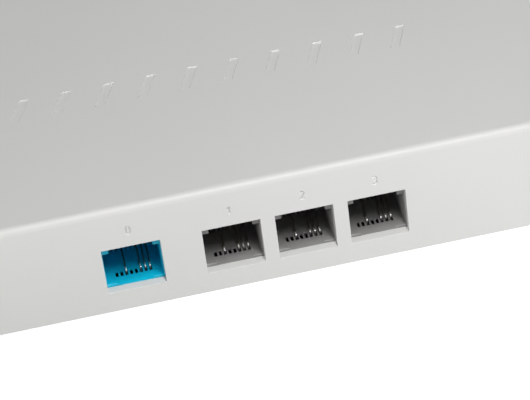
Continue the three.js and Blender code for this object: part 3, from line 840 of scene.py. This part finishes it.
def smooth_path(points, steps):
    """A Catmull-Rom curve through the points."""
    padded = [points[0], *points, points[-1]]
    path = []
    for a, b, c, d in zip(padded, padded[1:], padded[2:], padded[3:]):
        for i in range(steps):
            t = i / steps
            second = (2 * a - 5 * b + 4 * c - d) * t**2
            third = (3 * b - a - 3 * c + d) * t**3
            path.append(0.5 * (2 * b + (c - a) * t + second + third))
    return path + [points[-1]]


def contact_wire(name, position):
    node = f"{name}_contact_{position}"
    jack_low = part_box(f"{name}_jack")[0]
    floor = jack_low.z + JACK_FLOOR
    x = middle(node).x
    route = [Vector((jack_low.y + y * MM, floor + z * MM)) for y, z in WIRE_ROUTE]
    path = smooth_path(route, WIRE_STEPS)
    wide, tall = WIRE_HALF_WIDTH, WIRE_HALF_HEIGHT
    section = rounded_rectangle(-wide, wide, -tall, tall, WIRE_CORNER, steps=3)
    loops = []
    for i, point in enumerate(path):
        along = (path[min(i + 1, len(path) - 1)] - path[max(i - 1, 0)]).normalized()
        across = Vector((-along.y, along.x))
        taper = WIRE_END_TAPER if i in (0, len(path) - 1) else 1
        places = [(x + side * taper, point + across * up * taper) for side, up in section]
        loops.append([(u, place.x, place.y) for u, place in places])
    wire = lofted(f"{node}_wire", loops)
    return finish_piece(smooth(wire, 60), contact_painted_light, "chassis", "contact_gold", node)


# ---- Feet, screws and label ---------------------------------------------------------------------


def rubber_foot(node):
    """A round pad with a rounded edge and a shallow dish underneath."""
    low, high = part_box(node)
    at = middle(node)
    radius = (high.x - low.x) / 2
    profile = [(radius * 0.55, low.z + 0.35 * MM), (radius * 0.62, low.z + 0.3 * MM)]
    profile += [(radius * 0.7, low.z)]
    for i in range(FOOT_EDGE_STEPS + 1):
        a = math.pi / 2 * i / FOOT_EDGE_STEPS
        reach = radius - FOOT_EDGE * (1 - math.sin(a))
        profile.append((reach, low.z + FOOT_EDGE * (1 - math.cos(a))))
    profile += [(radius, high.z)]
    body = turned(f"{node}_pad", profile, at.x, at.y, sides=64)
    return finish_piece(smooth(body, 50), rubber, "chassis", "rubber", node)


def screw_profile(radius, length):
    """A pan head on a shank, as (radius, height) from the tip to the top of the head.

    The heights start at the head's underside. The thread is a stack of narrow ridges.
    """
    root = SHANK_RADIUS * 0.78
    profile = [(SCREW_TIP_RADIUS, -length), (SHANK_RADIUS * 0.75, -length + 0.9 * MM)]
    ridge = -length + MM
    while ridge < -0.6 * MM:
        crest = ridge + THREAD_PITCH / 2
        profile += [(root, ridge), (SHANK_RADIUS, crest), (root, ridge + THREAD_PITCH)]
        ridge += THREAD_PITCH + THREAD_GAP
    profile += [(SHANK_RADIUS * 0.85, 0), (radius - 0.06 * MM, 0), (radius, 0.08 * MM)]
    for a in (0.1, 0.35, 0.6, 0.85, 1.1):
        profile.append((radius * math.cos(a), SCREW_HEAD * (0.5 + 0.5 * math.sin(a))))
    return profile + [(radius * 0.2, SCREW_HEAD)]


def pan_screw(node, head_up):
    """A pan-head screw with a cross recess."""
    low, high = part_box(node)
    at = middle(node)
    profile = screw_profile((high.x - low.x) / 2, high.z - low.z - SCREW_HEAD)
    seat = high.z - SCREW_HEAD if head_up else low.z + SCREW_HEAD
    out = 1 if head_up else -1
    placed = [(r, seat + out * h) for r, h in profile]
    body = turned(f"{node}_steel", placed, at.x, at.y, sides=36)
    bottom = seat + out * (SCREW_HEAD - RECESS_DEPTH)
    z0, z1 = sorted((bottom, seat + out * (SCREW_HEAD + MM)))
    arm, side = RECESS_REACH, RECESS_HALF_WIDTH
    for half_x, half_y in ((arm, side), (side, arm)):
        outline = rectangle(at.x - half_x, at.x + half_x, at.y - half_y, at.y + half_y)
        carve(body, [prism("arm", outline, "z", z0, z1)])
    return finish_piece(smooth(body, 35), steel, "chassis", "steel", node)


def rating_label():
    low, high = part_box("rating_label")
    outline = rounded_rectangle(low.x, high.x, low.y, high.y, LABEL_CORNER, steps=8)
    film = prism("blank_label", outline, "z", low.z, high.z)
    soften(film, LABEL_BEVEL)
    return finish_piece(smooth(film), label_film, "chassis", "label", "rating_label")


# ---- Inlet and buttons --------------------------------------------------------------------------


def power_inlet():
    low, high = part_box("power_inlet")
    pin = middle("power_inlet_pin")
    body = block("inlet_body", low.x, high.x, low.y, high.y, low.z, high.z)
    profile = [
        (INLET_BORE_RADIUS, low.y + INLET_BORE_DEPTH),
        (INLET_BORE_RADIUS, low.y + INLET_LEAD),
        (INLET_BORE_RADIUS + INLET_LEAD, low.y),
        (INLET_BORE_RADIUS + INLET_LEAD, low.y - MM),
    ]
    carve(body, [turned("bore", profile, pin.x, pin.z, sides=48, axis="y")])
    soften(body, FINE_BEVEL, 60)
    return finish_piece(smooth(body), black_plastic, "chassis", "black_plastic", "power_inlet")


def inlet_pin():
    """A pin with a rounded tip."""
    low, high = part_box("power_inlet_pin")
    at = middle("power_inlet_pin")
    radius = (high.x - low.x) / 2
    profile = []
    for a in (0.15, 0.4, 0.7, 1.0, 1.3):
        profile.append((radius * math.sin(a), low.y + radius * (1 - math.cos(a))))
    profile += [(radius, low.y + radius), (radius, high.y)]
    body = turned("inlet_centre_pin", profile, at.x, at.z, sides=32, axis="y")
    return finish_piece(smooth(body, 50), steel, "chassis", "steel", "power_inlet_pin")


def power_button():
    """A square cap with rounded edges and a shallow dish, on a square stem."""
    low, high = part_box("power_button")
    at = middle("power_button")
    half = (high.x - low.x) / 2

    def ring(inset, y):
        side = half - inset
        corner = max(CAP_CORNER - inset, CAP_LEAST_CORNER)
        outline = rounded_rectangle(at.x - side, at.x + side, at.z - side, at.z + side, corner)
        return [(u, y, v) for u, v in outline]

    loops = [ring(half * share, low.y + sink) for share, sink in CAP_DISH]
    for i in range(CAP_EDGE_STEPS + 1):
        a = math.pi / 2 * i / CAP_EDGE_STEPS
        loops.append(ring(CAP_EDGE * (1 - math.sin(a)), low.y + CAP_EDGE * (1 - math.cos(a))))
    back = low.y + CAP_DEPTH
    loops.append(ring(0, back))
    cap = lofted("power_cap", loops)
    x0, x1 = at.x - STEM_HALF, at.x + STEM_HALF
    z0, z1 = at.z - STEM_HALF, at.z + STEM_HALF
    combine(cap, [block("stem", x0, x1, back - MM, high.y, z0, z1)], "UNION")
    return finish_piece(smooth(cap, 45), button_plastic, "power_cap", "button_grey", "power_button")


def reset_button():
    low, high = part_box("reset_button")
    at = middle("reset_button")
    radius = (high.x - low.x) / 2
    profile = [(radius * 0.8, low.y), (radius * 0.95, low.y + 0.06 * MM)]
    profile += [(radius, low.y + 0.2 * MM), (radius, high.y)]
    body = turned("reset_plunger_pin", profile, at.x, at.z, sides=28, axis="y")
    smooth(body, 50)
    return finish_piece(body, button_plastic, "reset_plunger", "button_grey", "reset_button")


# ---- Pieces inside, which keep their CAD shape --------------------------------------------------

INNER_LOOKS = {
    "power_switch": black_plastic,
    "reset_switch": black_plastic,
    "light_pipe": clear_plastic,
    "main_board": board_mask,
    "processor": black_plastic,
    "thermal_pad": silicone,
    "heat_sink": aluminium,
    "memory_chip": black_plastic,
    "flash_chip": black_plastic,
    "clock_crystal": steel,
    "supply_capacitor_1": aluminium,
    "supply_capacitor_2": aluminium,
    "supply_inductor": ferrite,
    **{f"line_transformer_{i}": black_plastic for i in range(4)},
    **{lamp: lamp_resin for lamp in LAMPS},
}


def inner_pieces():
    for node, look in INNER_LOOKS.items():
        piece = dress(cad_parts[node], look)
        bevel(piece, FINE_BEVEL, BEVEL_ANGLE)


# ---- Camera, light and floor --------------------------------------------------------------------

# The angles are in degrees, and the place is measured from the middle of the panel's foot
CAMERA_ELEVATION = 32.94
CAMERA_TURN = 6.71
CAMERA_ROLL = 7.88
CAMERA_LENS = 153.1
CAMERA_PLACE = (-42 * MM, -380.8 * MM, 268 * MM)

WORLD_STRENGTH = 0.05
PANEL_FOOT = (0, PANEL_Y, SPLIT_Z)
TOP_MIDDLE = (0, 0, TOP_Z)
# Name, place, what it points at, size and power
LIGHTS = (
    ("key", (0.122, -0.454, 0.757), PANEL_FOOT, (0.18, 0.48), 5.3),
    ("left softbox", (-1.61, -0.81, 0.91), PANEL_FOOT, (0.5, 0.5), 8),
    ("right card", (0.36, -0.3, 0.12), PANEL_FOOT, (0.1, 0.1), 0.35),
    ("rear light", (0.12, 0.3, 0.45), TOP_MIDDLE, (0.2, 0.2), 0.4),
)

FLOOR_HALF = 2
FLOOR_THICKNESS = 0.02
# The floor's light rises from GLOW_NEAR at one point to GLOW_FAR at 1 / GLOW_SCALE metres from it
GLOW_OFFSET = (0.28, 0.28, 0)
GLOW_SCALE = 4.5
GLOW_FAR = 1.3
GLOW_NEAR = 0.72


def studio_camera():
    """A long lens that looks down on the port panel, turned a little and tilted to the left."""
    elevation = math.radians(CAMERA_ELEVATION)
    turn = math.radians(CAMERA_TURN)
    roll = math.radians(CAMERA_ROLL)
    data = bpy.data.cameras.new("camera")
    data.sensor_width = 36
    data.lens = CAMERA_LENS
    data.clip_start = 0.01
    data.clip_end = 20
    camera = bpy.data.objects.new("camera", data)
    bpy.context.scene.collection.objects.link(camera)
    flat = math.cos(elevation)
    forward = Vector((math.sin(turn) * flat, math.cos(turn) * flat, -math.sin(elevation)))
    right = Vector((math.cos(turn), -math.sin(turn), 0))
    up = right.cross(forward)
    tilted_right = math.cos(roll) * right - math.sin(roll) * up
    tilted_up = math.sin(roll) * right + math.cos(roll) * up
    turned_axes = Matrix((tilted_right, tilted_up, -forward)).transposed()
    x, y, z = CAMERA_PLACE
    place = Vector((x, PANEL_Y + y, SPLIT_Z + z))
    camera.matrix_world = Matrix.Translation(place) @ turned_axes.to_4x4()
    bpy.context.scene.camera = camera


def area_light(name, place, target, size, power):
    data = bpy.data.lights.new(name, "AREA")
    data.shape = "RECTANGLE"
    data.size, data.size_y = size
    data.energy = power
    light = bpy.data.objects.new(name, data)
    bpy.context.scene.collection.objects.link(light)
    aim = Vector(target) - Vector(place)
    light.location = place
    light.rotation_euler = aim.to_track_quat("-Z", "Y").to_euler()


def world_light():
    world = bpy.data.worlds.new("studio")
    bpy.context.scene.world = world
    world.use_nodes = True
    background = world.node_tree.nodes["Background"]
    background.inputs["Color"].default_value = (1, 1, 1, 1)
    background.inputs["Strength"].default_value = WORLD_STRENGTH


def glowing_floor():
    """White to the camera. As a light, it is weakest near the case's front left corner."""
    material = bpy.data.materials.new("floor")
    material.use_nodes = True
    nodes, links = nodes_of(material)
    shader = nodes["Principled BSDF"]
    shader.inputs["Base Color"].default_value = (0.1, 0.1, 0.1, 1)
    shader.inputs["Roughness"].default_value = 0.9
    shader.inputs["Emission Color"].default_value = (1, 1, 1, 1)
    place = nodes.new("ShaderNodeTexCoord")
    mapping = nodes.new("ShaderNodeMapping")
    mapping.inputs["Location"].default_value = GLOW_OFFSET
    mapping.inputs["Scale"].default_value = (GLOW_SCALE, GLOW_SCALE, GLOW_SCALE)
    glow = nodes.new("ShaderNodeTexGradient")
    glow.gradient_type = "SPHERICAL"
    links.new(place.outputs["Object"], mapping.inputs["Vector"])
    links.new(mapping.outputs["Vector"], glow.inputs["Vector"])
    level = nodes.new("ShaderNodeMapRange")
    level.inputs["To Min"].default_value = GLOW_FAR
    level.inputs["To Max"].default_value = GLOW_NEAR
    links.new(glow.outputs["Fac"], level.inputs["Value"])
    rays = nodes.new("ShaderNodeLightPath")
    seen = nodes.new("ShaderNodeMix")
    seen.inputs["B"].default_value = 1.0
    links.new(rays.outputs["Is Camera Ray"], seen.inputs["Factor"])
    links.new(level.outputs["Result"], seen.inputs["A"])
    links.new(seen.outputs["Result"], shader.inputs["Emission Strength"])
    return material


def studio():
    world_light()
    for light in LIGHTS:
        area_light(*light)
    half = FLOOR_HALF
    floor = prism("floor", rectangle(-half, half, -half, half), "z", -FLOOR_THICKNESS, 0)
    dress(floor, glowing_floor())
    floor.visible_glossy = False
    bpy.context.scene.view_settings.view_transform = "Standard"


# ---- The scene ----------------------------------------------------------------------------------

studio_camera()
studio()
top_cover()
base_cover()
for port in PORT_NAMES:
    jack_housing(port)
    for contact in FITTED_CONTACTS:
        contact_wire(port, contact)
for foot, screw in zip(FEET, CASE_SCREWS):
    rubber_foot(foot)
    pan_screw(screw, head_up=False)
for screw in BOARD_SCREWS:
    pan_screw(screw, head_up=True)
rating_label()
power_inlet()
inlet_pin()
power_button()
reset_button()
inner_pieces()
